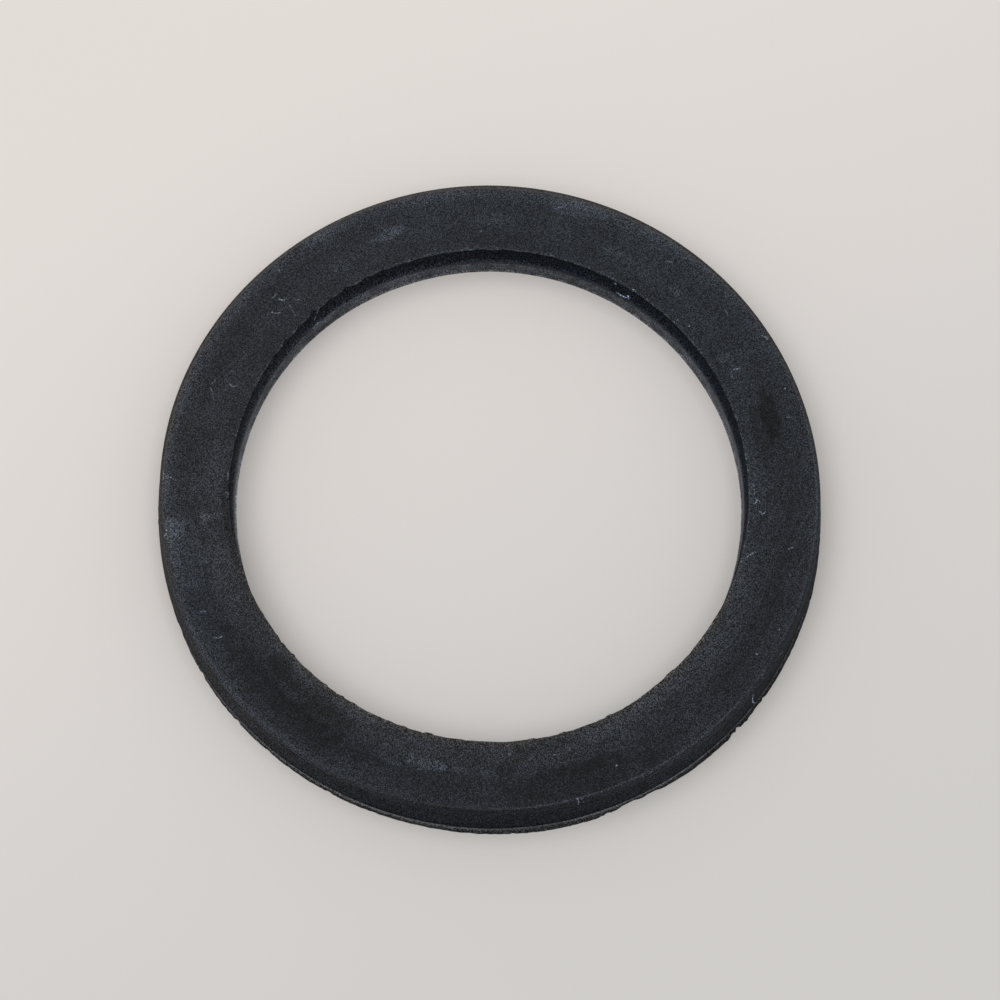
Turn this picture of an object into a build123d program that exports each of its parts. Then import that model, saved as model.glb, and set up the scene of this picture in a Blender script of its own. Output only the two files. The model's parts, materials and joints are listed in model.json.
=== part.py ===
from build123d import *
from math import cos, radians, sin, tan
import os

# A moulded rubber gasket: a flat ring with a drafted outer wall and a stepped bore.
# It lies on its lower sealing face. The origin is the middle of that face and +Z is the
# ring's axis. All sizes are in millimetres and all angles in degrees.

# The ring's own sizes
thickness = 6.35  # between the two sealing faces
outside_diameter = 79.4  # across the foot of the outer wall, where the flash leaves it
outer_draft = 4.6  # lean of the outer wall, so that the ring leaves the mould
rim_radius = 0.5  # rounding between the outer wall and the upper face
bore_diameter = 61.4  # across the upper part of the bore
bore_edge_radius = 0.12  # rounding at the mouth of the bore

# The land that the lower mould half leaves in the bore
land_step = 0.2  # how far the land stands in from the wall above it
land_height = 2.6
land_slope_height = 0.45  # from the land's edge up to the wall above it

# The flash that the mould's parting line leaves around the foot of the outer wall
flash_reach = 0.31  # how far it stands out of the foot of the wall, on average
flash_height = 0.85
flash_root = 1.0  # how far its annulus runs into the ring, so that the two join
flash_lean = 0.1  # its torn edge stands this much further in at the top
outline_points = 144  # points of its outer edge

# The flash is wider on one side of the ring than on the other, and ripples all the way
# round: (waves around the ring, height as a share of the reach, direction of one crest)
flash_waves = [
    (1, 0.30, -46.0),
    (2, 0.26, -80.0),
    (3, 0.08, 25.0),
    (8, 0.05, 8.0),
    (19, 0.04, 19.0),
    (31, 0.03, 31.0),
]

# Places where the flash was torn off down to the wall: (angle, length along the edge)
torn_places = [(-31.0, 0.6), (-38.0, 1.2), (-64.6, 0.8), (-152.0, 1.2), (-166.0, 2.4)]


def ring_section():
    """Half of the ring's cut face, on the XZ plane, to the right of the axis."""
    wall_foot = outside_diameter / 2
    wall_top = wall_foot - (thickness - flash_height) * tan(radians(outer_draft))
    bore = bore_diameter / 2
    land = bore - land_step
    slope_top = land_height + land_slope_height
    with BuildSketch(Plane.XZ) as section:
        with BuildLine():
            Polyline(
                (land, 0),
                (wall_foot, 0),
                (wall_foot, flash_height),
                (wall_top, thickness),
                (bore, thickness),
                (bore, slope_top),
                (land, land_height),
                close=True,
            )
        make_face()
        upper_corners = section.vertices().group_by(Axis.Z)[-1].sort_by(Axis.X)
        fillet(upper_corners[-1], rim_radius)
        fillet(upper_corners[0], bore_edge_radius)
    return section.sketch


def flash_reach_at(angle):
    """How far the flash stands out of the wall in this direction from the ring's axis."""
    swell = sum(
        height * cos(radians(waves * (angle - crest)))
        for waves, height, crest in flash_waves
    )
    return flash_reach * (1 + swell)


def flash_outline(inset):
    """The flash's uneven outer edge, as a closed curve this far in from its widest."""
    points = []
    for step in range(outline_points):
        angle = 360 * step / outline_points
        radius = outside_diameter / 2 + flash_reach_at(angle) - inset
        points.append((radius * cos(radians(angle)), radius * sin(radians(angle))))
    return Spline(*points, periodic=True)


def flash_ring():
    """The thin strip of flash around the foot of the ring, with its torn places open."""
    wall_foot = outside_diameter / 2
    with BuildPart() as flash:
        for height, inset in ((0, 0), (flash_height, flash_lean)):
            with BuildSketch(Plane.XY.offset(height)):
                with BuildLine():
                    flash_outline(inset)
                make_face()
        loft(ruled=True)
        Cylinder(
            wall_foot - flash_root,
            flash_height,
            align=(Align.CENTER, Align.CENTER, Align.MIN),
            mode=Mode.SUBTRACT,
        )
        for angle, length in torn_places:
            with Locations(Rot(0, 0, angle) * Pos(wall_foot, 0, 0)):
                Box(
                    4 * flash_reach,
                    length,
                    3 * flash_height,
                    align=(Align.MIN, Align.CENTER, Align.CENTER),
                    mode=Mode.SUBTRACT,
                )
    return flash.part


def gasket():
    """The whole ring, as one solid of rubber."""
    ring = revolve(ring_section(), axis=Axis.Z)
    return ring + flash_ring()


os.makedirs("parts", exist_ok=True)
export_step(gasket(), "parts/gasket.step")
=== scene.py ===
import json
from math import atan2, cos, degrees, exp, hypot, pi, radians, sin

import bmesh
import bpy
from mathutils import Matrix, Vector, noise


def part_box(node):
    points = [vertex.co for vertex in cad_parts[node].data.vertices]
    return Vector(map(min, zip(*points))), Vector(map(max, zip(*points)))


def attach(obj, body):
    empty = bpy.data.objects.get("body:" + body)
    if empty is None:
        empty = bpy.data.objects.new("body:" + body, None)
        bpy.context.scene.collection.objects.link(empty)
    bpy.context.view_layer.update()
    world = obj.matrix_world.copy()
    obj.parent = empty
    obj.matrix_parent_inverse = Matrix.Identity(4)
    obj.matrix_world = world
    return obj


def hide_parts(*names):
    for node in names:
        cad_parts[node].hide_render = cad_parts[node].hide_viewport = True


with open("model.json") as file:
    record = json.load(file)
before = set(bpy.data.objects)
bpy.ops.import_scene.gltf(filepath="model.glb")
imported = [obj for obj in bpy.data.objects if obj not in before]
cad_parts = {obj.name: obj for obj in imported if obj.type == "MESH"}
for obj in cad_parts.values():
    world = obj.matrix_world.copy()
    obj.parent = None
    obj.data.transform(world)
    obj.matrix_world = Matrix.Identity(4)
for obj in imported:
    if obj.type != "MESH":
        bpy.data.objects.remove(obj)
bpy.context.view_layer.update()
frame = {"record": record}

# ---------------------------------------------------------------------------------------
# The gasket's shape. It is one moulding of black rubber, pressed in a two-part mould. The
# lower half of the mould gives it the land in its bore and the flash around its foot; the
# upper half gives it the drafted wall and the rounded rim.
# ---------------------------------------------------------------------------------------
MM = 0.001
ring_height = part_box("gasket")[1].z / MM
bore_mount = next(mount for mount in frame["record"]["mounts"] if mount["name"] == "bore")
land_radius = bore_mount["dims"]["r_mm"]

wall_foot = land_radius + 9.2
wall_top = wall_foot - 0.45
flash_top = 0.85
rim_radius = 0.5
bore_radius = land_radius + 0.2
bore_edge_radius = 0.1
ledge_height = 3.1

# Half of the ring's cut face, corner by corner: radius and height in millimetres
section_corners = [
    (land_radius - 0.16, 0.0),
    (wall_foot + 0.33, 0.0),
    (wall_foot + 0.31, 0.22),
    (wall_foot + 0.26, 0.5),
    (wall_foot + 0.21, flash_top - 0.07),
    (wall_foot + 0.14, flash_top),
    (wall_foot + 0.02, flash_top + 0.02),
    (wall_foot - 0.02, flash_top + 0.12),
    (wall_top, ring_height),
    (bore_radius, ring_height),
    (bore_radius, ledge_height + 0.1),
    (bore_radius - 0.03, ledge_height),
    (land_radius + 0.06, ledge_height - 0.2),
    (land_radius + 0.01, ledge_height - 0.5),
    (land_radius - 0.04, 0.35),
]
section = bmesh.new()
corner_points = [section.verts.new((r * MM, 0, z * MM)) for r, z in section_corners]
section.faces.new(corner_points)
rim_corner, bore_corner = corner_points[8], corner_points[9]
for corner, radius, segments in ((rim_corner, rim_radius, 6), (bore_corner, bore_edge_radius, 3)):
    bmesh.ops.bevel(section, geom=[corner], offset=radius * MM, segments=segments, profile=0.5,
                    affect="VERTICES", material=-1)
bmesh.ops.delete(section, geom=section.faces[:], context="FACES_ONLY")

# The long straight runs are divided, so that the rubber can be uneven along them
top_step, wall_step, base_step = 0.55, 0.8, 2.4
for edge in section.edges[:]:
    start, end = (v.co / MM for v in edge.verts)
    if max(start.z, end.z) < 0.01:
        spacing = base_step
    elif min(start.z, end.z) > ring_height - 0.01:
        spacing = top_step
    else:
        spacing = wall_step
    cuts = round((end - start).length / spacing) - 1
    if cuts > 0:
        bmesh.ops.subdivide_edges(section, edges=[edge], cuts=cuts)

# The section is spun round in coarse steps, and each step is then divided into fine ones
coarse_steps, fine_cuts = 180, 7
turn_steps = coarse_steps * (fine_cuts + 1)
bmesh.ops.spin(section, geom=section.verts[:] + section.edges[:], cent=(0, 0, 0), axis=(0, 0, 1),
               dvec=(0, 0, 0), angle=2 * pi, steps=coarse_steps, use_merge=True)
bmesh.ops.remove_doubles(section, verts=section.verts[:], dist=0.001 * MM)
around = [edge for edge in section.edges
          if edge.verts[0].co.xy.normalized().dot(edge.verts[1].co.xy.normalized()) < 0.99999]
bmesh.ops.subdivide_edges(section, edges=around, cuts=fine_cuts)
bmesh.ops.recalc_face_normals(section, faces=section.faces[:])

# Each part of the section has its own finish, in this order
FACE, WALL, FLASH, PINCH, BORE, LAND = range(6)
for face in section.faces:
    middle = face.calc_center_median() / MM
    radius = middle.xy.length
    if middle.z < 0.01 or (middle.z > ring_height - 0.15 and radius < bore_radius + 0.2):
        face.material_index = FACE
    elif middle.z > ring_height - rim_radius and radius > bore_radius + 0.2:
        face.material_index = FACE
    elif radius > bore_radius + 1 and middle.z > flash_top + 0.03:
        face.material_index = WALL
    elif radius > bore_radius + 1:
        face.material_index = PINCH if middle.z > flash_top - 0.01 else FLASH
    elif middle.z > ledge_height - 0.19:
        face.material_index = BORE
    else:
        face.material_index = LAND


def unevenness(turn, lumps, seed):
    """Smooth noise around the ring, about -1 to 1, with so many lumps to a whole turn."""
    reach = lumps / (2 * pi)
    return 1.6 * noise.noise(Vector((reach * cos(turn), reach * sin(turn), 7.3 * seed)))


def torn(turn, lumps, seed):
    """Ragged noise around the ring, 0 to about 1: a torn edge, with sharp teeth and shallow bays."""
    return abs(unevenness(turn, lumps, seed)) ** 0.7


# How far the flash stands out of the wall's foot around the ring: angle in degrees, reach
flash_reaches = [
    (-180, 0.0), (-166, -0.12), (-135, 0.26), (-105, 0.4), (-75, 0.66), (-68, 0.64), (-60, 0.3),
    (-50, 0.53), (-15, 0.4), (0, 0.26), (120, 0.34), (160, 0.2), (180, 0.0),
]

# Places where the flash tore away: angle, half of its width in degrees, depth in millimetres
flash_tears = [
    (-31.6, 0.3, 0.12), (-33.6, 0.9, 0.07), (-36.4, 0.3, -0.1), (-38.6, 0.4, 0.3), (-39.9, 0.5, 0.16),
    (-41.2, 0.3, -0.08), (-57.0, 1.2, 0.1), (-61.5, 1.6, 0.14), (-65.4, 0.5, 0.16), (-66.5, 0.3, 0.08),
    (-81.6, 0.3, 0.08), (-113.5, 0.5, 0.1), (-126.0, 0.4, 0.08), (-133.2, 0.5, 0.12),
    (-143.4, 0.6, 0.1), (-152.5, 1.0, 0.08), (-174.5, 0.4, -0.13), (-172.0, 0.4, -0.16),
    (28.0, 1.0, 0.15), (95.0, 1.4, 0.2), (150.0, 0.8, 0.15),
]

# Where the lip at the bore's upper edge stands in as a tooth, or was torn back: the same
lip_teeth = [
    (-42.5, 1.2, 0.12), (-59.0, 0.6, 0.1), (-69.8, 0.8, 0.1), (-76.5, 0.7, 0.08), (-99.0, 0.9, 0.14),
    (-104.5, 0.6, 0.1), (-107.8, 0.6, 0.1), (-116.5, 0.7, 0.12), (-119.5, 0.4, 0.1), (-124.0, 0.4, 0.1),
    (-133.8, 0.3, 0.1), (-138.0, 0.4, -0.12), (-121.0, 0.3, -0.08), (-62.0, 11.0, -0.1),
    (-78.0, 9.0, -0.09), (-38.0, 14.0, 0.05), (-172.0, 9.0, -0.13), (-159.0, 5.0, 0.08),
    (28.0, 10.0, -0.07), (90.0, 33.0, 0.08), (133.0, 7.0, -0.04), (166.0, 11.0, -0.05),
    (-100.0, 30.0, -0.03), (119.5, 0.6, -0.16), (123.8, 0.9, -0.18), (126.6, 0.4, 0.1),
    (129.0, 0.8, -0.2), (133.5, 0.9, -0.12), (138.2, 0.7, -0.2), (142.6, 0.7, -0.14), (144.6, 0.5, 0.1),
    (147.5, 0.8, -0.2), (149.8, 0.3, 0.1), (152.0, 0.8, -0.12),
]


def notches(turn, places):
    """How deep the torn places are at this turn, in millimetres. A wide one is softer."""
    depth = 0
    for angle, half_width, deep in places:
        off = abs((degrees(turn) - angle + 180) % 360 - 180)
        depth += deep * min(1, max(0, (half_width - off) / (0.2 + 0.5 * half_width) + 0.5))
    return depth


def flash_reach(turn):
    """How far the flash stands out of the wall's foot at this turn, in millimetres."""
    angle = (degrees(turn) + 180) % 360 - 180
    for (a, near), (b, far) in zip(flash_reaches, flash_reaches[1:]):
        if a <= angle <= b:
            share = (angle - a) / (b - a)
            reach = near + (far - near) * share * share * (3 - 2 * share)
    ragged = 0.07 if -165 < angle < -95 else 0.045
    reach += ragged * (torn(turn, 170, 1) - 0.4) + 0.02 * unevenness(turn, 420, 2)
    return reach - notches(turn, flash_tears)


turns = {}
for vert in section.verts:
    turns.setdefault(round(atan2(vert.co.y, vert.co.x) / (2 * pi) * turn_steps), []).append(vert)
for step, cut_points in turns.items():
    turn = 2 * pi * step / turn_steps
    flash_here = flash_reach(turn)
    thin_share = exp(-(((degrees(turn) + 80) / 21) ** 2))
    flash_rise = 0.04 * unevenness(turn, 90, 4) - 0.26 * thin_share
    behind = 0.5 + 0.5 * cos(turn - radians(140))
    lip_reach = 0.06 * torn(turn, 110, 5) + 0.02 * unevenness(turn, 400, 6) - 0.04 + notches(turn, lip_teeth)
    lip_reach += 0.05 * behind * unevenness(turn, 150, 12)
    lip_reach += 0.04 * cos(turn + radians(25))
    ledge_rise = 0.05 * unevenness(turn, 40, 7) + 0.03 * unevenness(turn, 220, 8)
    ledge_drift = 0.02 * unevenness(turn, 120, 9)
    foot_drift = 0.02 * unevenness(turn, 30, 11) + 0.06 * cos(turn - radians(150))
    foot_drift += 0.1 * exp(-(((degrees(turn) % 360 - 184) / 17) ** 2))
    foot_drift += 0.05 * exp(-(((degrees(turn) % 360 - 116) / 18) ** 2))
    warp = 0.012 * unevenness(turn, 14, 10)
    out_of_round = 0.05 * cos(3 * turn + 2.3) + 0.026 * cos(2 * turn - 1.25)
    rim_drift = -0.06 * behind ** 2 - 0.17 * exp(-(((degrees(turn) % 360 - 187) / 14) ** 2))
    # The flash's foot reaches out unevenly, and the narrow ledge on top of it stays even
    foot_scale = flash_here / 0.33
    ledge_scale = min(1.5, max(0, flash_here / 0.37))
    # A fine step's points start on the chord of their coarse step, a little inside the circle
    half_chord = pi / coarse_steps
    off_middle = turn % (2 * half_chord) - half_chord
    bow = cos(off_middle) / cos(half_chord)
    for vert in cut_points:
        z = vert.co.z / MM
        radius = hypot(vert.co.x, vert.co.y) / MM * bow
        lip_share = max(0, 1 - abs(radius - bore_radius) / 0.25)
        # The flash, torn unevenly where it was trimmed
        if z < flash_top + 0.05 and radius > wall_foot + 0.1:
            foot_share = min(1, max(0, (flash_top - z) / 0.35))
            scale = ledge_scale + (foot_scale - ledge_scale) * foot_share
            radius = wall_foot + (radius - wall_foot) * scale
        if z < flash_top + 0.2 and radius > wall_foot - 0.1:
            radius += 0.04 * thin_share * z / flash_top
            z += flash_rise * min(1, z / flash_top)
        # The thin lip that the mould left at the bore's upper edge
        if z > ring_height - 0.2:
            radius -= lip_reach * lip_share
        # The parting ledge in the bore, and the land's foot
        if abs(z - ledge_height + 0.15) < 0.5 and radius < bore_radius + 0.02:
            z += ledge_rise
            if radius < bore_radius - 0.05:
                radius += ledge_drift
        if z < ledge_height - 0.4 and radius < land_radius + 0.1:
            radius -= foot_drift * (1 - z / (ledge_height - 0.4))
        radius += out_of_round + rim_drift * min(1, max(0, (radius - land_radius) / 4 - 1))
        z += warp * z / ring_height
        vert.co = Vector((radius * cos(turn), radius * sin(turn), z)) * MM

for face in section.faces:
    face.smooth = True
for edge in section.edges:
    if len(edge.link_faces) == 2 and edge.calc_face_angle() > radians(38):
        edge.smooth = False

ring_mesh = bpy.data.meshes.new("gasket_ring")
section.to_mesh(ring_mesh)
section.free()
ring = bpy.data.objects.new("gasket_ring", ring_mesh)
bpy.context.scene.collection.objects.link(ring)
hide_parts("gasket")
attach(ring, "root")

# ---------------------------------------------------------------------------------------
# What shows on any of the ring's surfaces. The rubber has a fine matt grain from the mould,
# patches where it bloomed or was rubbed, and lint from lying about. Each is a node group
# that works in millimetres on the ring's own coordinates.
# ---------------------------------------------------------------------------------------


def put(tree, kind, sockets=(), **settings):
    """Adds a node. Each named socket gets a value, or a link from the output that feeds it."""
    made = tree.nodes.new(kind)
    for name, value in settings.items():
        setattr(made, name, value)
    for name, value in dict(sockets).items():
        if isinstance(value, bpy.types.NodeSocket):
            tree.links.new(value, made.inputs[name])
        else:
            made.inputs[name].default_value = value
    return made


def calc(tree, operation, *values):
    """A Math node's result."""
    return put(tree, "ShaderNodeMath", enumerate(values), operation=operation).outputs[0]


def vector(tree, operation, *values, **named):
    """A Vector Math node's outputs."""
    sockets = {**dict(enumerate(values)), **named}
    return put(tree, "ShaderNodeVectorMath", sockets, operation=operation).outputs


def ease(tree, value, start, end, low=0.0, high=1.0):
    """Goes smoothly from low to high as value goes from start to end."""
    sockets = {"Value": value, "From Min": start, "From Max": end, "To Min": low, "To Max": high}
    return put(tree, "ShaderNodeMapRange", sockets, interpolation_type="SMOOTHSTEP").outputs[0]


def noise_at(tree, place, size, detail=1.0):
    """Noise with lumps of that size in millimetres, mostly from 0.25 to 0.75."""
    scale = calc(tree, "DIVIDE", 1.0, size)
    return put(tree, "ShaderNodeTexNoise", {"Vector": place, "Scale": scale, "Detail": detail}).outputs[0]


def new_group(name, inputs, outputs):
    """A node group with those sockets: its tree, what is given to it, and where its results go."""
    tree = bpy.data.node_groups.new(name, "ShaderNodeTree")
    for way, sockets in (("INPUT", inputs), ("OUTPUT", outputs)):
        for socket in sockets:
            is_vector = socket in ("Object", "Place", "Start", "End", "Bend")
            kind = "NodeSocketVector" if is_vector else "NodeSocketFloat"
            tree.interface.new_socket(socket, in_out=way, socket_type=kind)
    return tree, put(tree, "NodeGroupInput").outputs, put(tree, "NodeGroupOutput")


def use_group(tree, group, sockets):
    """One use of a node group, with its own values."""
    made = tree.nodes.new("ShaderNodeGroup")
    made.node_tree = group
    for name, value in sockets.items():
        if isinstance(value, bpy.types.NodeSocket):
            tree.links.new(value, made.inputs[name])
        else:
            made.inputs[name].default_value = value
    return made.outputs


def give(tree, results, **outputs):
    """Links a group's results to its output sockets."""
    for name, value in outputs.items():
        tree.links.new(value, results.inputs[name])


# Where a point is on the ring: its place and radius in millimetres, its heading in degrees
place_group, given, results = new_group("ring_place", ["Object"], ["Place", "Radius", "Height", "Heading"])
in_mm = vector(place_group, "SCALE", given["Object"], Scale=1 / MM)[0]
flat = vector(place_group, "MULTIPLY", in_mm, (1, 1, 0))[0]
x, y, z = put(place_group, "ShaderNodeSeparateXYZ", {"Vector": in_mm}).outputs
heading = calc(place_group, "MULTIPLY", calc(place_group, "ARCTAN2", y, x), 180 / pi)
give(place_group, results, Place=in_mm, Height=z, Heading=heading,
     Radius=vector(place_group, "LENGTH", flat)["Value"])

# The matt grain: fine even speckle, as a height about one half and a tone about one
grain_group, given, results = new_group("moulded_grain", ["Place", "Grain Size", "Strength"],
                                        ["Height", "Tone"])
fine = noise_at(grain_group, given["Place"], given["Grain Size"])
pores = noise_at(grain_group, given["Place"], calc(grain_group, "MULTIPLY", given["Grain Size"], 2.7))
blend = calc(grain_group, "MULTIPLY_ADD", fine, 0.9, calc(grain_group, "MULTIPLY", pores, 0.1))
swing = calc(grain_group, "MULTIPLY", calc(grain_group, "SUBTRACT", blend, 0.5), given["Strength"])
grain_tone = calc(grain_group, "MAXIMUM", calc(grain_group, "ADD", swing, 1.0), 0.05)
give(grain_group, results, Height=fine, Tone=grain_tone)

# A patch that is rubbed, dusty or bloomed: an uneven oval along the ring, as a mask
patch_group, given, results = new_group("worn_patch", [
    "Radius", "Heading", "Noise", "At Heading", "At Radius", "Length", "Width", "Raggedness"], ["Mask"])
turned = calc(patch_group, "SUBTRACT", given["Heading"], given["At Heading"])
turned = calc(patch_group, "WRAP", turned, 180.0, -180.0)
along = calc(patch_group, "MULTIPLY", turned, calc(patch_group, "MULTIPLY", given["At Radius"], pi / 90))
along = calc(patch_group, "DIVIDE", along, given["Length"])
across = calc(patch_group, "SUBTRACT", given["Radius"], given["At Radius"])
across = calc(patch_group, "MULTIPLY", across, 2.0)
across = calc(patch_group, "DIVIDE", across, given["Width"])
spot = calc(patch_group, "MULTIPLY_ADD", along, along, calc(patch_group, "MULTIPLY", across, across))
ragged = calc(patch_group, "SUBTRACT", given["Noise"], 0.5)
spot = calc(patch_group, "MULTIPLY_ADD", ragged, given["Raggedness"], spot)
give(patch_group, results, Mask=ease(patch_group, spot, 0.25, 1.15, 1.0, 0.0))

# A fibre of lint or a scratch: a thin bent line from a start to an end, as a mask
lint_group, given, results = new_group("lint", ["Place", "Start", "End", "Bend", "Width"], ["Mask"])
reach = vector(lint_group, "SUBTRACT", given["Place"], given["Start"])[0]
line = vector(lint_group, "SUBTRACT", given["End"], given["Start"])[0]
share = calc(lint_group, "DIVIDE", vector(lint_group, "DOT_PRODUCT", reach, line)["Value"],
             vector(lint_group, "DOT_PRODUCT", line, line)["Value"])
share = put(lint_group, "ShaderNodeClamp", {"Value": share}).outputs[0]
rest_share = calc(lint_group, "SUBTRACT", 1.0, share)
bow = calc(lint_group, "MULTIPLY", calc(lint_group, "MULTIPLY", share, rest_share), 4.0)
on_line = vector(lint_group, "ADD", vector(lint_group, "SCALE", line, Scale=share)[0],
                 vector(lint_group, "SCALE", given["Bend"], Scale=bow)[0])[0]
off_line = vector(lint_group, "DISTANCE", reach, on_line)["Value"]
off_share = calc(lint_group, "DIVIDE", off_line, given["Width"])
give(lint_group, results, Mask=ease(lint_group, off_share, 0.2, 1.0, 1.0, 0.0))


def new_rubber(name, roughness, specular):
    """A rubber finish: its material, node tree, shader, and where a point is on the ring."""
    material = bpy.data.materials.new(name)
    material.use_nodes = True
    tree = material.node_tree
    shader = tree.nodes["Principled BSDF"]
    shader.inputs["Roughness"].default_value = roughness
    shader.inputs["Specular IOR Level"].default_value = specular
    here = put(tree, "ShaderNodeTexCoord").outputs["Object"]
    return material, tree, shader, use_group(tree, place_group, {"Object": here})


def graded(tree, value, stops):
    """A number that runs through the stops (value, number) as the value does."""
    first, last = stops[0][0], stops[-1][0]
    share = put(tree, "ShaderNodeMapRange", {"Value": value, "From Min": first, "From Max": last}).outputs[0]
    ramp = put(tree, "ShaderNodeValToRGB", {"Fac": share})
    points = ramp.color_ramp.elements
    while len(points) < len(stops):
        points.new(0.5)
    for point, (at, number) in zip(points, stops):
        point.position = (at - first) / (last - first)
        point.color = (number, number, number, 1)
    return ramp.outputs["Color"]


def facing(tree, heading, angle):
    """1 on the side of the ring at this angle, 0 on the opposite side."""
    off = calc(tree, "MULTIPLY", calc(tree, "SUBTRACT", heading, angle), pi / 180)
    return calc(tree, "MULTIPLY_ADD", calc(tree, "COSINE", off), 0.5, 0.5)


def between(tree, share, first, second):
    """A plain mix of two numbers."""
    return put(tree, "ShaderNodeMix", {0: share, 2: first, 3: second}).outputs[0]


def mixed_tint(tree, share, first, second):
    """A colour that goes from the first to the second as the share goes from 0 to 1."""
    colours = {"Factor": share, 6: first, 7: second}
    return put(tree, "ShaderNodeMix", colours, data_type="RGBA").outputs[2]


def finish_rubber(tree, shader, place, tone, tint, grain_strength, grain_size, drawn=1.0):
    """Puts the grain on a tone and feeds the shader's colour and its fine bump. On an upright
    surface the grain is drawn out in height, as the mould dragged it."""
    grain_place = vector(tree, "MULTIPLY", place["Place"], (1, 1, drawn))[0]
    grain = use_group(tree, grain_group, {"Place": grain_place, "Grain Size": grain_size,
                                          "Strength": grain_strength})
    tone = calc(tree, "MULTIPLY", tone, grain["Tone"])
    tree.links.new(vector(tree, "SCALE", tint, Scale=tone)[0], shader.inputs["Base Color"])
    bump = put(tree, "ShaderNodeBump", {"Height": grain["Height"], "Distance": 0.01 * MM})
    tree.links.new(bump.outputs[0], shader.inputs["Normal"])


def polar(angle, radius, height):
    """A point on the ring, in millimetres, from its direction, radius and height."""
    return radius * cos(radians(angle)), radius * sin(radians(angle)), height


# ---------------------------------------------------------------------------------------
# The sealing face: flat, matt and blue-black. It has a painted sheen: it is paler towards the
# bore in front and towards the rim behind, where the face catches the light from behind, and it
# is rubbed, dusty and bloomed in patches.
# ---------------------------------------------------------------------------------------
face_rubber, tree, shader, place = new_rubber("rubber_face", 0.6, 0.1)
# The face's tone by radius, in front and behind, with a painted sheen: paler where the face catches the
# light from behind
front_sheen_tones = [
    (30.6, 0.028), (31.1, 0.025), (32, 0.021), (33.5, 0.017), (35, 0.013), (36.5, 0.012), (38.6, 0.013),
]
back_sheen_tones = [
    (30.6, 0.027), (31.1, 0.017), (32.5, 0.018), (34, 0.021), (36, 0.019), (37, 0.021), (38.6, 0.034),
]
toward_lit_back = facing(tree, place["Heading"], 125.0)
front_sheen_tone = graded(tree, place["Radius"], front_sheen_tones)
back_sheen_tone = graded(tree, place["Radius"], back_sheen_tones)
tone = between(tree, toward_lit_back, front_sheen_tone, back_sheen_tone)
bloom = noise_at(tree, place["Place"], 6.0, 3.0)
tone = calc(tree, "MULTIPLY", tone, ease(tree, bloom, 0.25, 0.75, 0.85, 1.15))

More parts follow.
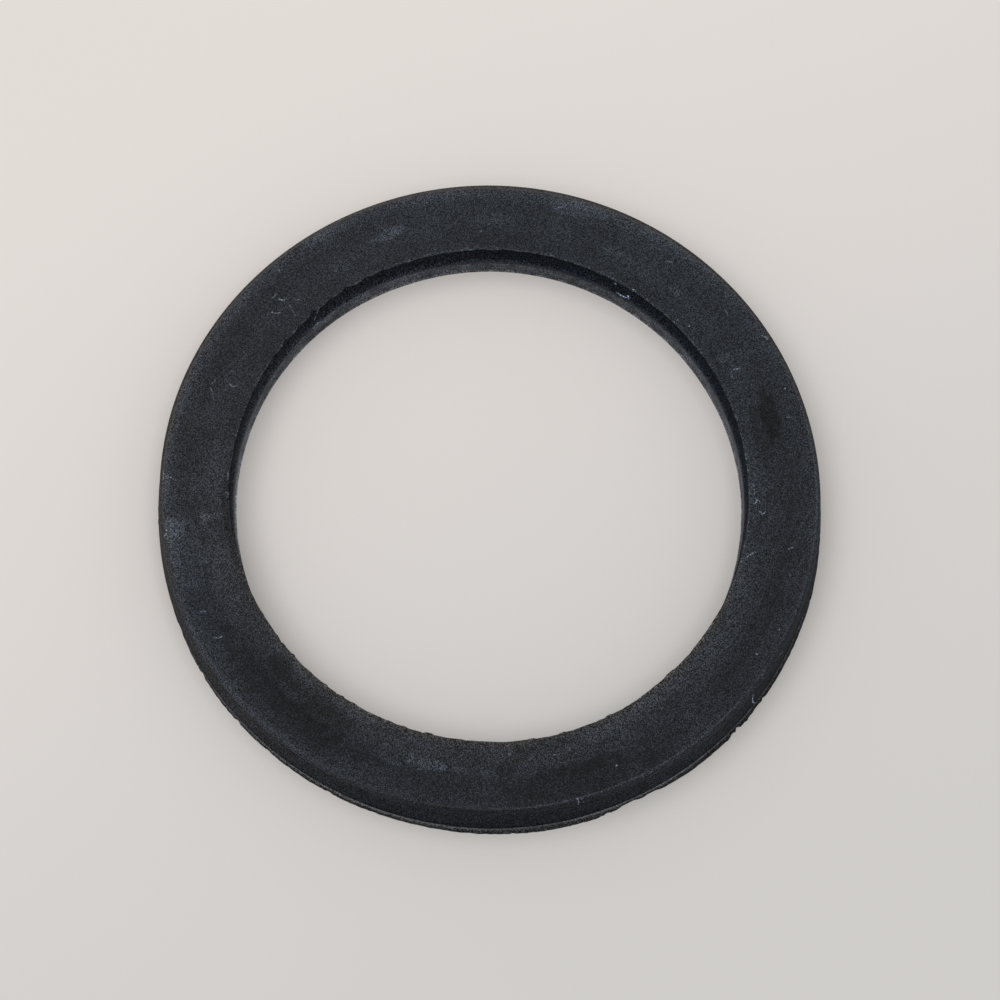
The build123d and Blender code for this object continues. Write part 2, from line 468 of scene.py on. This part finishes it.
# Patches: heading, radius, length, width, raggedness, and how much paler or darker they are
patches = [
    (-127, 35.6, 33, 3.0, 2.0, -0.37), (-125, 35.4, 14, 1.8, 2.4, -0.32),
    (-128, 37.3, 24, 2.6, 2.0, -0.28), (-127, 34.0, 24, 3.0, 1.6, -0.23),
    (-133.7, 32.7, 4.2, 3.4, 1.8, -0.5), (-120.5, 33.1, 9.5, 2.4, 1.8, -0.36),
    (-98.5, 34.4, 5.0, 1.7, 5.0, 1.0), (-104, 35.1, 3.0, 0.8, 4.0, 0.65),
    (-101, 33.7, 2.0, 0.9, 4.0, 0.55), (-93, 34.3, 4.0, 0.7, 4.0, 0.4),
    (-87, 34.4, 1.6, 1.0, 4.0, 0.55), (-71, 36.9, 20, 4.8, 2.0, -0.34),
    (-70, 35.4, 12, 1.8, 2.4, -0.36), (-56, 37.8, 3.0, 2.2, 1.6, -0.36),
    (-82.5, 34.0, 2.4, 2.2, 1.4, -0.43), (-79.5, 32.6, 2.0, 2.4, 1.4, -0.34),
    (-44.5, 36.0, 2.6, 2.6, 1.4, 0.28), (-22, 35.6, 32, 2.6, 2.0, -0.18),
    (20, 34.8, 8.0, 2.5, 2.0, -0.58), (17, 33.3, 11, 2.8, 2.2, -0.38), (14, 32.3, 7.0, 1.4, 1.6, -0.1),
    (38.5, 34.1, 4.0, 2.6, 1.6, -0.16), (35.5, 32.8, 1.4, 2.2, 1.0, 0.46),
    (43.5, 34.2, 1.0, 1.6, 1.0, 0.25), (53, 33.9, 2.4, 1.2, 1.6, 0.52), (68, 34.0, 7.0, 1.4, 2.4, 0.31),
    (78, 37.8, 8.0, 3.6, 2.4, 0.6), (62, 36.6, 22, 3.6, 2.0, 0.14), (126, 38.1, 7.0, 1.4, 1.6, 0.36),
    (108, 38.2, 8.0, 1.4, 1.6, 0.2), (60, 38.3, 14, 1.2, 1.6, 0.28), (94, 34.6, 6.5, 2.0, 2.4, 0.32),
    (115.5, 34.9, 4.8, 1.9, 4.0, 0.95), (116, 36.3, 1.6, 1.6, 2.0, 0.52),
    (77, 32.2, 30, 3.2, 1.8, -0.04), (91, 32.2, 8.0, 1.6, 2.4, -0.1), (-168, 37.4, 3.4, 3.8, 2.4, 0.46),
    (-163, 36.8, 10, 5.0, 2.0, 0.48), (-169.3, 33.0, 1.1, 3.6, 1.0, 0.75),
    (-169, 34.0, 2.4, 1.8, 1.2, 0.5), (-129.3, 33.2, 2.4, 2.6, 1.2, -0.44),
    (150, 36.0, 24, 3.6, 2.0, -0.2), (-98, 36.5, 9.0, 2.8, 2.0, -0.14),
    (-45, 33.6, 8.0, 1.8, 2.0, -0.14), (92, 38.2, 6.0, 1.4, 1.6, -0.12),
    (-172, 31.3, 9.0, 1.3, 1.2, -0.32), (30, 31.3, 26, 1.6, 1.6, -0.16),
    (60, 31.6, 7.0, 1.8, 1.6, -0.22), (-128, 31.3, 26, 1.4, 1.6, 0.22),
    (-75, 32.0, 8.0, 1.8, 1.6, -0.2), (-50, 31.8, 12, 1.4, 1.6, 0.16),
    (-161, 31.1, 6.0, 1.0, 1.0, -0.4), (-180, 32.5, 14, 2.2, 1.6, 0.2),
    (-66, 33.5, 8.0, 1.6, 2.0, -0.16), (-158.5, 33.2, 10, 4.0, 1.6, 0.36),
    (-32, 32.8, 17, 2.4, 1.6, 0.08), (-63, 32.2, 6.0, 1.8, 5.0, 0.32), (165, 36.2, 0.8, 4.6, 1.0, 0.14),
    (172, 38.4, 13, 1.4, 1.6, 0.32), (-176, 38.4, 5.0, 1.2, 1.4, 0.38),
]
edge_noise = noise_at(tree, place["Place"], 1.2, 3.0)


def patch_mask(tree, place, edge_noise, at_heading, at_radius, length, width, raggedness):
    """Where one worn patch of the face is."""
    return use_group(tree, patch_group, {
        "Radius": place["Radius"], "Heading": place["Heading"], "Noise": edge_noise,
        "At Heading": at_heading, "At Radius": at_radius, "Length": length, "Width": width,
        "Raggedness": raggedness})["Mask"]


for *shape, strength in patches:
    mask = patch_mask(tree, place, edge_noise, *shape)
    tone = calc(tree, "MULTIPLY", tone, calc(tree, "MULTIPLY_ADD", mask, strength, 1.0))

# Fine scratches along the ring in front, where it was turned in its seat
drawn_heading = calc(tree, "MULTIPLY", place["Heading"], 0.25)
drawn_radius = calc(tree, "MULTIPLY", place["Radius"], 4.0)
along_ring = put(tree, "ShaderNodeCombineXYZ", {"X": drawn_heading, "Y": drawn_radius}).outputs[0]
scratches = put(tree, "ShaderNodeTexNoise", {"Vector": along_ring, "Scale": 1.0, "Detail": 2.0}).outputs[0]
scratched = patch_mask(tree, place, edge_noise, -66.0, 33.5, 11.0, 2.4, 0.6)
scratches = calc(tree, "SUBTRACT", scratches, 0.5)
scratches = calc(tree, "MULTIPLY", scratches, calc(tree, "MULTIPLY", scratched, 2.4))
tone = calc(tree, "MULTIPLY", tone, calc(tree, "ADD", scratches, 1.0))

# The arris where the flat ends has a painted highlight, brightest behind and at the left, and
# the rounding outside it has painted light and shade like the wall: heading and tone of each
arris_highlight_tones = [
    (-180, 0.054), (-160, 0.032), (-120, 0.028), (-90, 0.019), (-72, 0.034), (-45, 0.034), (-25, 0.025),
    (12, 0.044), (30, 0.036), (60, 0.05), (180, 0.054),
]
rim_shading_tones = [
    (-180, 0.029), (-135, 0.033), (-90, 0.008), (-45, 0.018), (-22, 0.014), (0, 0.025), (60, 0.028),
    (120, 0.044), (140, 0.034), (180, 0.029),
]
on_arris = ease(tree, place["Radius"], 38.58, 38.7)
tone = between(tree, on_arris, tone, graded(tree, place["Heading"], arris_highlight_tones))
on_rim = ease(tree, place["Radius"], 38.78, 38.88)
tone = between(tree, on_rim, tone, graded(tree, place["Heading"], rim_shading_tones))

# Pale flecks where the lip at the bore catches the light
flecks = ease(tree, noise_at(tree, place["Place"], 0.35), 0.52, 0.68)
at_lip = ease(tree, place["Radius"], 30.8, 31.05, 0.035, 0.0)
tone = calc(tree, "MULTIPLY_ADD", flecks, at_lip, tone)

# Lint: start, end and bend in millimetres on the face, and how pale it is
lint = [
    ((-28.05, 21.95), (-27.6, 22.51), (0.0, 0.0), 0.055),
    ((-27.21, 21.92), (-26.38, 22.03), (0.0, -0.19), 0.09),
    ((-27.91, 20.12), (-26.91, 20.21), (-0.05, -0.15), 0.09),
    ((-25.42, 22.14), (-25.13, 22.0), (0.0, -0.3), 0.045),
    ((-25.13, 22.0), (-24.74, 21.99), (0.0, 0.0), 0.055),
    ((-25.87, 21.2), (-25.11, 19.91), (0.05, 0.0), 0.035),
    ((-34.4, 10.5), (-33.8, 11.0), (0.1, -0.2), 0.05),
    ((-31.99, 10.5), (-31.21, 10.37), (-0.08, -0.15), 0.11),
    ((-34.24, 9.79), (-33.76, 8.81), (0.0, 0.05), 0.05), ((5.1, 36.6), (5.95, 36.9), (0.0, 0.05), 0.04),
    ((18.96, 30.9), (19.82, 30.75), (0.0, 0.05), 0.04),
    ((31.0, 22.3), (31.75, 21.95), (0.05, 0.05), 0.1),
    ((27.95, 17.66), (28.7, 17.82), (0.0, 0.03), 0.075),
    ((27.77, 17.44), (27.82, 16.54), (-0.05, 0.0), 0.025),
    ((34.6, 12.05), (35.3, 12.1), (0.0, 0.1), 0.05), ((26.35, 25.2), (26.8, 24.7), (0.05, 0.05), 0.045),
    ((-30.62, -20.9), (-29.8, -20.74), (0.0, -0.1), 0.09),
    ((-32.6, -18.0), (-32.0, -17.85), (0.0, 0.05), 0.04),
    ((33.28, -20.15), (33.54, -19.89), (0.0, 0.0), 0.03),
    ((20.22, -33.38), (21.26, -32.63), (0.05, -0.1), 0.04),
    ((31.23, 0.97), (31.55, 1.36), (0.1, -0.08), 0.08),
    ((31.55, 1.36), (31.87, 1.26), (0.0, 0.08), 0.08), ((31.05, 3.3), (31.3, 1.9), (0.05, 0.0), 0.025),
    ((31.9, 0.13), (32.38, -0.31), (0.0, 0.0), 0.05), ((32.38, -0.31), (32.76, 0.02), (0.0, 0.0), 0.05),
    ((30.8, -5.7), (31.78, -5.07), (0.0, 0.0), 0.07),
    ((35.66, -4.38), (36.16, -4.16), (0.0, 0.05), 0.055),
    ((-37.6, -8.2), (-37.64, -8.9), (0.05, 0.0), 0.075),
    ((-37.64, -8.9), (-37.92, -9.47), (-0.05, 0.05), 0.075),
    ((-38.7, -1.6), (-37.76, -1.74), (0.0, -0.1), 0.06),
    ((-37.76, -1.74), (-37.25, -2.0), (0.0, 0.0), 0.05),
    ((-38.8, -1.1), (-38.67, -2.1), (0.1, 0.0), 0.06),
    ((-31.12, -3.08), (-30.9, -3.6), (0.2, 0.1), 0.05),
    ((-31.08, -0.66), (-31.09, -1.47), (0.0, 0.0), 0.06),
]
specks = [
    (-20.77, 26.09, 0.09), (-27.53, 25.6, 0.07), (-3.69, 32.82, 0.09), (20.82, 23.37, 0.09),
    (22.24, 22.76, 0.07), (34.21, 15.76, 0.06), (4.68, -31.9, 0.08), (35.07, -14.36, 0.1),
    (32.62, -17.54, 0.09), (17.1, -32.3, 0.16), (9.9, -31.6, 0.05), (12.4, -31.2, 0.05),
    (15.24, 26.84, 0.4), (35.94, -7.62, 0.06),
]
speck_half_width = 0.04
lint += [((x - speck_half_width, y), (x + speck_half_width, y), (0.0, 0.0), strength)
         for x, y, strength in specks]
lint = [((*start, ring_height), (*end, ring_height), bend, strength) for start, end, bend, strength in lint]
# A curl of fluff hangs over the rim in front
lint += [(polar(-70.6, 38.7, 6.4), polar(-70.5, 39.2, 6.05), (0.0, 0.0), 0.12),
         (polar(-69.9, 38.85, 6.4), polar(-69.7, 39.25, 5.85), (0.0, 0.0), 0.08)]
pale = 0.0
for start, end, bend, strength in lint:
    line = use_group(tree, lint_group, {"Place": place["Place"], "Start": start, "End": end,
                                        "Bend": (*bend, 0), "Width": 0.13})["Mask"]
    pale = calc(tree, "MULTIPLY_ADD", line, strength, pale)
tone = calc(tree, "ADD", tone, pale)

# Painted reflection: the rim is greyer and warmer than the blue-black face behind and at the left, where it
# faces the light
rim_reflection_places = [(-180, 1.0), (-165, 0.8), (-150, 0.15), (0, 0.1), (15, 0.6), (100, 1.0), (180, 1.0)]
rim_reflection = graded(tree, place["Heading"], rim_reflection_places)
rim_reflection_share = calc(tree, "MULTIPLY", ease(tree, place["Radius"], 38.2, 38.8), rim_reflection)
tint = mixed_tint(tree, facing(tree, place["Heading"], 45.0), (0.88, 0.97, 1.15, 1), (0.82, 0.97, 1.22, 1))
# In front the darker rubber towards the rim is bluer, and the lip is worn to a warmer grey
in_front = ease(tree, facing(tree, place["Heading"], -90.0), 0.5, 0.75)
deep_blue = calc(tree, "MULTIPLY", ease(tree, place["Radius"], 32.8, 35.0), in_front)
tint = mixed_tint(tree, deep_blue, tint, (0.82, 0.96, 1.22, 1))
tint = mixed_tint(tree, rim_reflection_share, tint, (1.03, 0.98, 0.99, 1))
worn_lip = calc(tree, "MULTIPLY", ease(tree, place["Radius"], 31.9, 30.6), in_front)
tint = mixed_tint(tree, worn_lip, tint, (1.03, 0.98, 0.96, 1))
at_arris = calc(tree, "COMPARE", place["Radius"], 38.71, 0.1)
grain = calc(tree, "MULTIPLY_ADD", at_arris, -9.0, calc(tree, "MULTIPLY_ADD", toward_lit_back, -5.5, 17.0))
finish_rubber(tree, shader, place, tone, tint, grain_strength=grain, grain_size=0.09)

# ---------------------------------------------------------------------------------------
# The outer wall: the same rubber, darker and duller than the face, as the upper mould half
# left it. Its tone has painted light and shade: palest at the left and behind, where it faces
# the light, and darkest in front.
# ---------------------------------------------------------------------------------------
wall_rubber, tree, shader, place = new_rubber("rubber_wall", 0.8, 0.05)
# Tone by heading, painted light and shade: palest at the left and behind, darkest in front
wall_shading_tones = [
    (-180, 0.026), (-140, 0.022), (-110, 0.013), (-75, 0.011), (-50, 0.015), (-30, 0.012), (60, 0.02),
    (150, 0.026), (180, 0.026),
]
tone = graded(tree, place["Heading"], wall_shading_tones)
bloom = noise_at(tree, place["Place"], 3.0, 3.0)
tone = calc(tree, "MULTIPLY", tone, ease(tree, bloom, 0.25, 0.75, 0.85, 1.15))


def on_wall(angle, height):
    """A point on the drafted wall, in millimetres."""
    draft = (wall_foot - wall_top) / (ring_height - flash_top)
    return polar(angle, wall_foot - draft * (height - flash_top), height)


for start, end, strength in (
    (on_wall(-70.5, 6.0), on_wall(-70.5, 5.5), 0.1),
    (on_wall(-34.14, 5.4), on_wall(-34.35, 4.05), 0.2),
    (on_wall(-34.35, 4.05), on_wall(-34.1, 2.15), 0.24),
    (on_wall(-34.1, 2.15), on_wall(-33.6, 0.95), 0.2),
    (on_wall(-26.1, 5.9), on_wall(-24.6, 4.2), 0.1),
):
    line = use_group(tree, lint_group, {"Place": place["Place"], "Start": start, "End": end,
                                        "Bend": (0.0, 0.0, 0.0), "Width": 0.12})["Mask"]
    tone = calc(tree, "MULTIPLY_ADD", line, strength, tone)

# Painted shade: the wall's foot is darkest, just above the flash, in the corner over the flash and the table
tone = calc(tree, "MULTIPLY", tone, ease(tree, place["Height"], 0.9, 1.6, 0.82, 1.0))
bluer = ease(tree, facing(tree, place["Heading"], -30.0), 0.35, 0.75)
tint = mixed_tint(tree, bluer, (0.92, 0.95, 1.13, 1), (0.79, 0.95, 1.26, 1))
grain = calc(tree, "MULTIPLY_ADD", ease(tree, facing(tree, place["Heading"], -90.0), 0.15, 0.5), 8.0, 9.0)
finish_rubber(tree, shader, place, tone, tint, grain_strength=grain, grain_size=0.12, drawn=0.4)

# ---------------------------------------------------------------------------------------
# The flash: thin torn rubber at the wall's foot. The narrow shelf on top of it, where it was
# pinched smooth between the moulds, has a painted highlight: it is much paler than its torn
# edge, as it faces the light from above.
# ---------------------------------------------------------------------------------------
flash_rubber, tree, shader, place = new_rubber("rubber_flash", 0.7, 0.05)
foot_tones = [
    (-180, 0.025), (-150, 0.024), (-133, 0.033), (-110, 0.02), (-75, 0.026), (-40, 0.014), (180, 0.025),
]
# Painted highlight on the shelf, by heading
pinch_highlight_tones = [(-180, 0.04), (-130, 0.08), (-105, 0.1), (-75, 0.06), (-60, 0.13), (-45, 0.06), (0, 0.035),
               (180, 0.04)]
highlight_heights = [(-180, 0.65), (-120, 0.6), (-90, 0.48), (-75, 0.6), (-60, 0.52), (-45, 0.76), (180, 0.65)]
highlight_from = graded(tree, place["Heading"], highlight_heights)
highlight_share = calc(tree, "MULTIPLY", calc(tree, "SUBTRACT", place["Height"], highlight_from), 2.6)
highlight_share = put(tree, "ShaderNodeClamp", {"Value": highlight_share}).outputs[0]
foot_tone = graded(tree, place["Heading"], foot_tones)
pinch_tone = graded(tree, place["Heading"], pinch_highlight_tones)
tone = between(tree, highlight_share, foot_tone, pinch_tone)
finish_rubber(tree, shader, place, tone, (0.95, 0.98, 1.05), grain_strength=14.0, grain_size=0.12, drawn=0.5)

pinch_rubber, tree, shader, place = new_rubber("rubber_pinch", 0.5, 0.1)
# The shelf's tone is a painted highlight
tone = graded(tree, place["Heading"], pinch_highlight_tones)
finish_rubber(tree, shader, place, tone, (0.97, 0.99, 1.03), grain_strength=5.0, grain_size=0.15)

# ---------------------------------------------------------------------------------------
# The bore: dull and black above the parting ledge and in the groove under it, and smoother
# on the land below, whose grey is a painted reflection of the pale table. Whitish shreds of
# torn rubber and a fibre of lint stick to it.
# ---------------------------------------------------------------------------------------
bore_rubber, tree, shader, place = new_rubber("rubber_bore", 0.9, 0.02)
shreds = [((64.9, 5.5), (64.8, 5.35), 0.2, 0.4), ((60.4, 6.2), (60.4, 6.1), 0.16, 0.2),
          ((61.3, 3.9), (61.2, 3.3), 0.22, 0.5), ((61.5, 3.2), (64.3, 3.05), 0.13, 0.25)]
bore_tones = [(-180, 0.014), (60, 0.011), (90, 0.0095), (145, 0.016), (165, 0.017), (180, 0.014)]
tone = graded(tree, place["Heading"], bore_tones)
up_the_bore = [(2.9, 0.19), (3.15, 0.17), (3.4, 0.12), (4.5, 0.1), (6.3, 0.076)]
tone = calc(tree, "MULTIPLY", tone, calc(tree, "MULTIPLY", graded(tree, place["Height"], up_the_bore), 10.0))
for (start_angle, start_height), (end_angle, end_height), width, strength in shreds:
    shred = use_group(tree, lint_group, {
        "Place": place["Place"], "Start": polar(start_angle, bore_radius, start_height),
        "End": polar(end_angle, bore_radius, end_height), "Bend": (0.0, 0.0, -0.1), "Width": width})["Mask"]
    tone = calc(tree, "MULTIPLY_ADD", shred, strength, tone)
fibre = use_group(tree, lint_group, {"Place": place["Place"], "Start": polar(136.9, bore_radius - 0.07, 6.1),
                                     "End": polar(138.3, bore_radius - 0.07, 4.3), "Bend": (0.0, 0.0, 0.1),
                                     "Width": 0.16})["Mask"]
tone = calc(tree, "MULTIPLY_ADD", fibre, 0.07, tone)
at_left = ease(tree, facing(tree, place["Heading"], 180.0), 0.5, 0.9)
tint = mixed_tint(tree, at_left, (0.75, 0.95, 1.33, 1), (0.84, 0.96, 1.21, 1))
grain = calc(tree, "MULTIPLY_ADD", ease(tree, facing(tree, place["Heading"], 90.0), 0.15, 0.4), 7.0, 10.0)
finish_rubber(tree, shader, place, tone, tint, grain_strength=grain, grain_size=0.12, drawn=0.4)

# The land is as dull as the bore just under the ledge, down to a ragged line
land_rubber, tree, shader, place = new_rubber("rubber_land", 0.5, 0.08)
# The land's grey by heading is a painted reflection of the pale table over the dark rubber
land_reflection_tones = [(-180, 0.14), (-168, 0.13), (-160, 0.02), (-140, 0.05), (-40, 0.05), (-20, 0.03), (8, 0.09),
              (70, 0.052), (120, 0.064), (137, 0.053), (165, 0.08), (180, 0.14)]
tone = graded(tree, place["Heading"], land_reflection_tones)
mottle = noise_at(tree, place["Place"], 1.5, 3.0)
tone = calc(tree, "MULTIPLY", tone, ease(tree, mottle, 0.3, 0.7, 0.62, 1.38))
dull_heights = [
    (-180, 0.14), (-170, 0.13), (-161, 0.0), (-145, 0.18), (-40, 0.21), (-26, 0.1), (-12, 0.19),
    (30, 0.23), (105, 0.22), (135, 0.28), (165, 0.2), (180, 0.14),
]
dull_tones = [
    (-180, 0.016), (0, 0.017), (45, 0.03), (75, 0.02), (120, 0.022), (135, 0.03), (150, 0.017),
    (180, 0.016),
]
dull_height = calc(tree, "MULTIPLY", graded(tree, place["Heading"], dull_heights), 10.0)
above = calc(tree, "SUBTRACT", calc(tree, "MULTIPLY_ADD", mottle, 0.7, place["Height"]), dull_height)
tone = between(tree, ease(tree, above, 0.3, 0.6), tone, graded(tree, place["Heading"], dull_tones))
arch_top = polar(137.5, land_radius - 0.01, 2.9)
arch_left = polar(138.9, land_radius - 0.07, 2.5)
arch_right = polar(135.3, land_radius - 0.1, 1.6)
for start, end in ((arch_left, arch_top), (arch_top, arch_right)):
    fibre = use_group(tree, lint_group, {"Place": place["Place"], "Start": start, "End": end,
                                         "Bend": (0.0, 0.0, 0.12), "Width": 0.2})["Mask"]
    tone = calc(tree, "MULTIPLY_ADD", fibre, 0.13, tone)
# Painted shadow: a short dark line on the land under the whitish shred above it
shred_shadow = use_group(tree, lint_group, {"Place": place["Place"], "Start": polar(64.6, land_radius, 2.5),
                                    "End": polar(61.2, land_radius, 2.5), "Bend": (0.0, 0.0, 0.1),
                                    "Width": 0.16})["Mask"]
tone = calc(tree, "MULTIPLY", tone, calc(tree, "MULTIPLY_ADD", shred_shadow, -0.8, 1.0))

# Painted reflection of the pale table: the land's foot is paler, and a warmer grey
tone = calc(tree, "MULTIPLY", tone, ease(tree, place["Height"], 0.0, 0.6, 2.1, 1.0))
tint = mixed_tint(tree, ease(tree, place["Height"], 0.0, 2.4), (0.93, 0.98, 1.09, 1), (0.82, 0.97, 1.22, 1))
finish_rubber(tree, shader, place, tone, tint, grain_strength=8.0, grain_size=0.12, drawn=0.5)

for finish in (face_rubber, wall_rubber, flash_rubber, pinch_rubber, bore_rubber, land_rubber):
    ring_mesh.materials.append(finish)

# ---------------------------------------------------------------------------------------
# The table top, the light and the camera. A plain pale floor under soft studio light that
# comes mostly from behind and to the left.
# ---------------------------------------------------------------------------------------
floor_mesh = bpy.data.meshes.new("table")
table = bmesh.new()
bmesh.ops.create_circle(table, cap_ends=True, radius=4.0, segments=64)
table.to_mesh(floor_mesh)
table.free()
floor = bpy.data.objects.new("table", floor_mesh)
bpy.context.scene.collection.objects.link(floor)
pale = bpy.data.materials.new("pale_table")
pale.use_nodes = True
pale_shader = pale.node_tree.nodes["Principled BSDF"]
on_table = put(pale.node_tree, "ShaderNodeTexCoord").outputs["Object"]
# Painted light falloff: the table is paler towards the back-left and darker towards the front-right
toward_window = vector(pale.node_tree, "DOT_PRODUCT", on_table, (-0.55, 0.83, 0))["Value"]
lit_share = ease(pale.node_tree, toward_window, -0.075, 0.075)
table_light = mixed_tint(pale.node_tree, lit_share, (0.60, 0.583, 0.568, 1), (0.728, 0.685, 0.652, 1))
pale.node_tree.links.new(table_light, pale_shader.inputs["Base Color"])
pale_shader.inputs["Roughness"].default_value = 0.9
pale_shader.inputs["Specular IOR Level"].default_value = 0.1
floor_mesh.materials.append(pale)

scene = bpy.context.scene
scene.view_settings.view_transform = "Standard"

world = bpy.data.worlds.new("studio")
scene.world = world
world.use_nodes = True
air = world.node_tree
ambient = air.nodes["Background"]
ambient.inputs["Color"].default_value = (1, 1, 1, 1)
ambient.inputs["Strength"].default_value = 0.5
backdrop = air.nodes.new("ShaderNodeBackground")
backdrop.inputs["Color"].default_value = (0.72, 0.70, 0.68, 1)
backdrop.inputs["Strength"].default_value = 1.0
rays = air.nodes.new("ShaderNodeLightPath")
seen = air.nodes.new("ShaderNodeMath")
seen.operation = "MAXIMUM"
through = air.nodes.new("ShaderNodeMath")
through.operation = "MAXIMUM"
air.links.new(rays.outputs["Is Camera Ray"], seen.inputs[0])
air.links.new(rays.outputs["Is Glossy Ray"], seen.inputs[1])
air.links.new(seen.outputs[0], through.inputs[0])
air.links.new(rays.outputs["Is Transmission Ray"], through.inputs[1])
choice = air.nodes.new("ShaderNodeMixShader")
air.links.new(through.outputs[0], choice.inputs["Fac"])
air.links.new(ambient.outputs[0], choice.inputs[1])
air.links.new(backdrop.outputs[0], choice.inputs[2])
air.links.new(choice.outputs[0], air.nodes["World Output"].inputs["Surface"])

key_data = bpy.data.lights.new("softbox", "SUN")
key_data.energy = 1.75
key_data.angle = radians(64)
key = bpy.data.objects.new("softbox", key_data)
scene.collection.objects.link(key)
key_from = Vector((-0.15, -0.08, 1.0))
key.rotation_mode = "QUATERNION"
key.rotation_quaternion = key_from.to_track_quat("Z", "Y")

# The camera stands in front and looks down steeply, and is turned a little in its mount
camera_height_angle = radians(71.741)
camera_distance = 0.42048
camera_roll = radians(4.682)
camera_data = bpy.data.cameras.new("camera")
camera_data.sensor_width = 36
camera_data.lens = 126
camera = bpy.data.objects.new("camera", camera_data)
scene.collection.objects.link(camera)
eye = camera_distance * Vector((0, -cos(camera_height_angle), sin(camera_height_angle)))
upright = Vector((0, sin(camera_height_angle), cos(camera_height_angle)))
aim = camera_distance * (0.00298 * Vector((1, 0, 0)) + 0.00201 * upright)
sight = (aim - eye).normalized()
right = sight.cross(upright).normalized()
level = Matrix((right, right.cross(sight), -sight)).transposed().to_4x4()
camera.matrix_world = Matrix.Translation(eye) @ level @ Matrix.Rotation(camera_roll, 4, "Z")
scene.camera = camera
